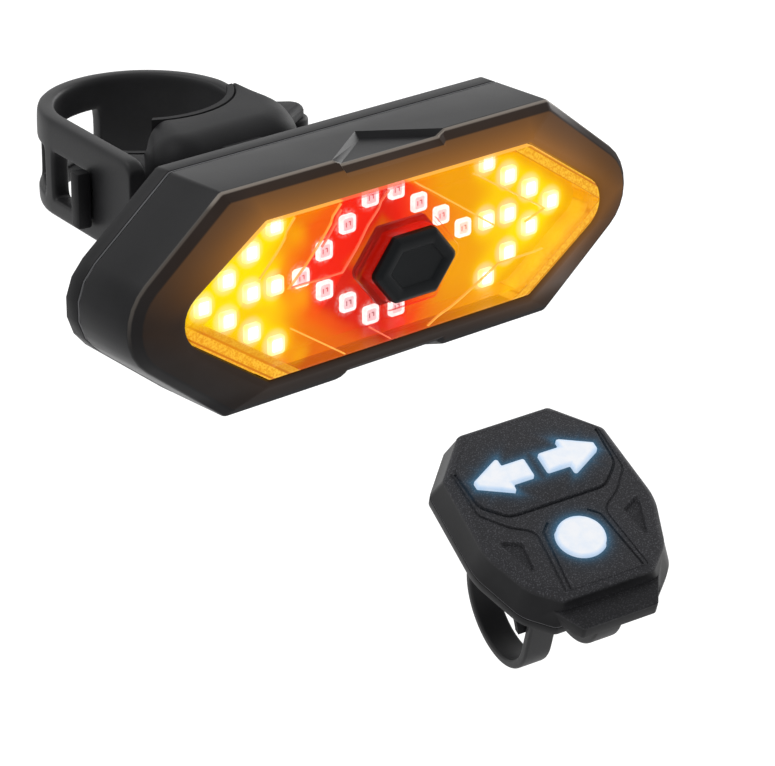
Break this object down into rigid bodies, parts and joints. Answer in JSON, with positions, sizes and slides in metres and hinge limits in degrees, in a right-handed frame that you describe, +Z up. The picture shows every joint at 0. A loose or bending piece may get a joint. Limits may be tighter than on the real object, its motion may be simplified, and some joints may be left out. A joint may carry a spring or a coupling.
{
  "type": "bicycle turn signal light",
  "caption": "Hexagonal rear lamp with red and amber light arrows under one lens, on a strap-on seat-post bracket, with a wireless handlebar remote.",
  "frame": {"origin": "seat-post axis at the middle height of the clamp", "axes": "+Z up the seat post, -Y the way the lamp shines, +X to the right seen from behind the bicycle facing the lamp"},
  "size_m": [0.173, 0.0938, 0.1526],
  "materials": {
    "saddle_plastic": "fine satin",
    "pad_rubber": "matte",
    "strap_rubber": "satin",
    "pin_steel": "brushed",
    "housing_plastic": "fine satin",
    "cover_plastic": "fine satin",
    "seal_silicone": "matte",
    "screw_steel": "brushed",
    "lens_plastic": "clear, glossy",
    "board_white": "solder resist",
    "led_red": "lit",
    "led_amber": "lit",
    "switch_steel": "plain",
    "board_green": "solder resist",
    "cell_foil": "foil",
    "foam": "foam",
    "socket_steel": "plain",
    "button_rubber": "satin",
    "flap_rubber": "matte",
    "remote_plastic": "fine grain",
    "band_rubber": "satin",
    "key_light": "lit",
    "coin_steel": "polished",
    "clip_brass": "plain",
    "key_silicone": "translucent, lit from behind"
  },
  "bodies": {
    "bracket": {"saddle": "saddle_plastic", "saddle_pad": "pad_rubber", "strap": "strap_rubber", "strap_pin": "pin_steel"},
    "lamp": {"front_housing": "housing_plastic", "rear_cover": "cover_plastic", "case_seal": "seal_silicone", "case_screws": "screw_steel", "lens": "lens_plastic", "lens_seal": "seal_silicone", "led_board": "board_white", "red_leds": "led_red", "left_amber_leds": "led_amber", "right_amber_leds": "led_amber", "power_switch": "switch_steel", "receiver_module": "board_green", "battery_cell": "cell_foil", "battery_pad": "foam", "charge_socket": "socket_steel"},
    "power_button": {"power_button": "button_rubber"},
    "charge_flap": {"charge_flap": "flap_rubber"},
    "remote": {"remote_shell": "remote_plastic", "remote_base": "remote_plastic", "remote_seal": "seal_silicone", "remote_pad": "pad_rubber", "left_band": "band_rubber", "right_band": "band_rubber", "remote_board": "board_green", "remote_switches": "switch_steel", "remote_leds": "key_light", "coin_cell": "coin_steel", "cell_clip": "clip_brass", "remote_screws": "screw_steel"},
    "left_key": {"left_key": "key_silicone"},
    "right_key": {"right_key": "key_silicone"},
    "round_key": {"round_key": "key_silicone"}
  },
  "joints": [
    {"name": "lamp_slide", "type": "slide", "parent": "bracket", "child": "lamp", "axis": [0, 0, 1], "range_m": [0, 0.024]},
    {"name": "power_press", "type": "slide", "parent": "lamp", "child": "power_button", "axis": [0, 1, 0], "range_m": [0, 0.0008], "stiffness_N_per_m": 1800},
    {"name": "flap_hinge", "type": "hinge", "parent": "lamp", "child": "charge_flap", "pos_m": [0.0288, -0.05245, -0.001], "axis": [0, 0, 1], "range_deg": [0, 90]},
    {"name": "remote_swivel", "type": "hinge", "parent": "bracket", "child": "remote", "pos_m": [0.0992, -0.0033, -0.1197], "axis": [0.9615, -0.2487, 0.1167], "range_deg": [-30, 30]},
    {"name": "left_key_press", "type": "slide", "parent": "remote", "child": "left_key", "axis": [0.2122, 0.4028, -0.8904], "range_m": [0, 0.0006], "stiffness_N_per_m": 1500},
    {"name": "right_key_press", "type": "slide", "parent": "remote", "child": "right_key", "axis": [0.2122, 0.4028, -0.8904], "range_m": [0, 0.0006], "stiffness_N_per_m": 1500},
    {"name": "round_key_press", "type": "slide", "parent": "remote", "child": "round_key", "axis": [0.2122, 0.4028, -0.8904], "range_m": [0, 0.0006], "stiffness_N_per_m": 1500}
  ]
}
